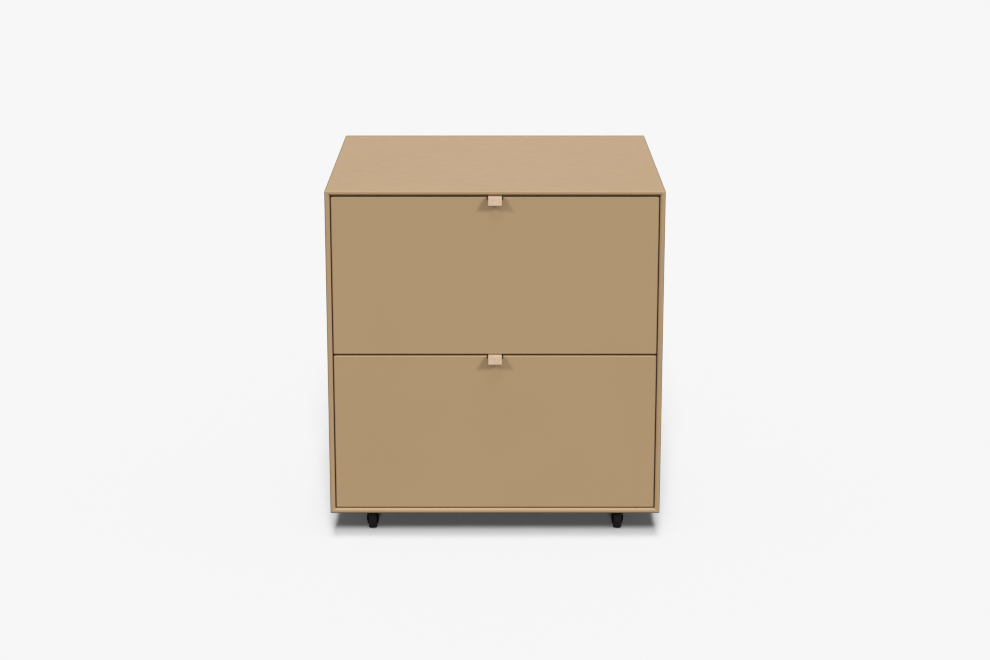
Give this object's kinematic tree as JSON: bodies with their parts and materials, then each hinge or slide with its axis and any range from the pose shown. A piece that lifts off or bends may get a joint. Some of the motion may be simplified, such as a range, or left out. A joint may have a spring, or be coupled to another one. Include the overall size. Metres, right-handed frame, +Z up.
{
  "type": "filing cabinet",
  "caption": "Low steel filing cabinet on swivel casters, with stacked full-width file drawers in a thin mitred frame, each opened by a folded leather tab on ball-bearing slides.",
  "frame": {"origin": "on the floor, under the middle of the overall footprint, pulls and rear screw heads included", "axes": "+Z up, drawers open towards -Y, +X to the right as seen from the front"},
  "size_m": [0.6, 0.5616, 0.65],
  "materials": {
    "powder_coat": "fine satin powder coat, warm sand",
    "zinc_slides": "bright zinc plate",
    "zinc_fasteners": "zinc plate",
    "ball_steel": "polished balls in plated cages",
    "leather": "natural undyed vegetable-tanned hide",
    "black_nylon": "matte black nylon",
    "black_steel": "satin black",
    "raw_steel": "oiled mill plate"
  },
  "bodies": {
    "cabinet": {"top_panel": "powder_coat", "bottom_panel": "powder_coat", "left_side_panel": "powder_coat", "right_side_panel": "powder_coat", "back_panel": "powder_coat", "back_panel_screws": "zinc_fasteners", "front_left_upright": "powder_coat", "front_right_upright": "powder_coat", "rear_left_upright": "powder_coat", "rear_right_upright": "powder_coat", "front_base_channel": "powder_coat", "rear_base_channel": "powder_coat", "ballast_plate": "raw_steel", "base_screws": "zinc_fasteners", "caster_nuts": "zinc_fasteners", "lower_left_slide_outer": "zinc_slides", "lower_right_slide_outer": "zinc_slides", "upper_left_slide_outer": "zinc_slides", "upper_right_slide_outer": "zinc_slides", "slide_screws": "zinc_fasteners", "caster_plates": "black_steel"},
    "lower_drawer": {"lower_drawer_front": "powder_coat", "lower_drawer_front_liner": "powder_coat", "lower_drawer_tray": "powder_coat", "lower_drawer_tray_back": "powder_coat", "lower_drawer_front_file_rail": "powder_coat", "lower_drawer_rear_file_rail": "powder_coat", "lower_drawer_pull": "leather", "lower_drawer_pull_clamp": "powder_coat", "lower_drawer_screws": "zinc_fasteners", "lower_left_slide_inner": "zinc_slides", "lower_right_slide_inner": "zinc_slides"},
    "lower_slide_middles": {"lower_left_slide_middle": "zinc_slides", "lower_right_slide_middle": "zinc_slides"},
    "lower_outer_cages": {"lower_outer_ball_cages": "ball_steel"},
    "lower_inner_cages": {"lower_inner_ball_cages": "ball_steel"},
    "upper_drawer": {"upper_drawer_front": "powder_coat", "upper_drawer_front_liner": "powder_coat", "upper_drawer_tray": "powder_coat", "upper_drawer_tray_back": "powder_coat", "upper_drawer_front_file_rail": "powder_coat", "upper_drawer_rear_file_rail": "powder_coat", "upper_drawer_pull": "leather", "upper_drawer_pull_clamp": "powder_coat", "upper_drawer_screws": "zinc_fasteners", "upper_left_slide_inner": "zinc_slides", "upper_right_slide_inner": "zinc_slides"},
    "upper_slide_middles": {"upper_left_slide_middle": "zinc_slides", "upper_right_slide_middle": "zinc_slides"},
    "upper_outer_cages": {"upper_outer_ball_cages": "ball_steel"},
    "upper_inner_cages": {"upper_inner_ball_cages": "ball_steel"},
    "front_left_caster": {"front_left_caster_fork": "black_steel"},
    "front_left_wheel": {"front_left_caster_wheel": "black_nylon"},
    "front_right_caster": {"front_right_caster_fork": "black_steel"},
    "front_right_wheel": {"front_right_caster_wheel": "black_nylon"},
    "rear_left_caster": {"rear_left_caster_fork": "black_steel"},
    "rear_left_wheel": {"rear_left_caster_wheel": "black_nylon"},
    "rear_right_caster": {"rear_right_caster_fork": "black_steel"},
    "rear_right_wheel": {"rear_right_caster_wheel": "black_nylon"}
  },
  "joints": [
    {"name": "lower_drawer_slide", "type": "slide", "parent": "cabinet", "child": "lower_drawer", "axis": [0, -1, 0], "range_m": [0, 0.46]},
    {"name": "lower_middles_slide", "type": "slide", "parent": "cabinet", "child": "lower_slide_middles", "axis": [0, -1, 0], "range_m": [0, 0.23]},
    {"name": "lower_outer_cages_slide", "type": "slide", "parent": "cabinet", "child": "lower_outer_cages", "axis": [0, -1, 0], "range_m": [0, 0.115]},
    {"name": "lower_inner_cages_slide", "type": "slide", "parent": "cabinet", "child": "lower_inner_cages", "axis": [0, -1, 0], "range_m": [0, 0.345]},
    {"name": "upper_drawer_slide", "type": "slide", "parent": "cabinet", "child": "upper_drawer", "axis": [0, -1, 0], "range_m": [0, 0.46]},
    {"name": "upper_middles_slide", "type": "slide", "parent": "cabinet", "child": "upper_slide_middles", "axis": [0, -1, 0], "range_m": [0, 0.23]},
    {"name": "upper_outer_cages_slide", "type": "slide", "parent": "cabinet", "child": "upper_outer_cages", "axis": [0, -1, 0], "range_m": [0, 0.115]},
    {"name": "upper_inner_cages_slide", "type": "slide", "parent": "cabinet", "child": "upper_inner_cages", "axis": [0, -1, 0], "range_m": [0, 0.345]},
    {"name": "front_left_caster_swivel", "type": "hinge", "parent": "cabinet", "child": "front_left_caster", "pos_m": [-0.228, -0.1998, 0.0435], "axis": [0, 0, 1], "continuous": true},
    {"name": "front_left_wheel_spin", "type": "hinge", "parent": "front_left_caster", "child": "front_left_wheel", "pos_m": [-0.22704, -0.21076, 0.019], "axis": [0.9962, 0.0872, 0], "continuous": true},
    {"name": "front_right_caster_swivel", "type": "hinge", "parent": "cabinet", "child": "front_right_caster", "pos_m": [0.228, -0.1998, 0.0435], "axis": [0, 0, 1], "continuous": true},
    {"name": "front_right_wheel_spin", "type": "hinge", "parent": "front_right_caster", "child": "front_right_wheel", "pos_m": [0.22723, -0.21077, 0.019], "axis": [0.9976, -0.0698, 0], "continuous": true},
    {"name": "rear_left_caster_swivel", "type": "hinge", "parent": "cabinet", "child": "rear_left_caster", "pos_m": [-0.228, 0.2062, 0.0435], "axis": [0, 0, 1], "continuous": true},
    {"name": "rear_left_wheel_spin", "type": "hinge", "parent": "rear_left_caster", "child": "rear_left_wheel", "pos_m": [-0.22972, 0.19534, 0.019], "axis": [0.9877, -0.1564, 0], "continuous": true},
    {"name": "rear_right_caster_swivel", "type": "hinge", "parent": "cabinet", "child": "rear_right_caster", "pos_m": [0.228, 0.2062, 0.0435], "axis": [0, 0, 1], "continuous": true},
    {"name": "rear_right_wheel_spin", "type": "hinge", "parent": "rear_right_caster", "child": "rear_right_wheel", "pos_m": [0.23029, 0.19544, 0.019], "axis": [0.9781, 0.2079, 0], "continuous": true}
  ],
  "couplings": [
    {"joint": "lower_middles_slide", "follows": "lower_drawer_slide", "ratio": 0.5},
    {"joint": "lower_outer_cages_slide", "follows": "lower_drawer_slide", "ratio": 0.25},
    {"joint": "lower_inner_cages_slide", "follows": "lower_drawer_slide", "ratio": 0.75},
    {"joint": "upper_middles_slide", "follows": "upper_drawer_slide", "ratio": 0.5},
    {"joint": "upper_outer_cages_slide", "follows": "upper_drawer_slide", "ratio": 0.25},
    {"joint": "upper_inner_cages_slide", "follows": "upper_drawer_slide", "ratio": 0.75}
  ]
}
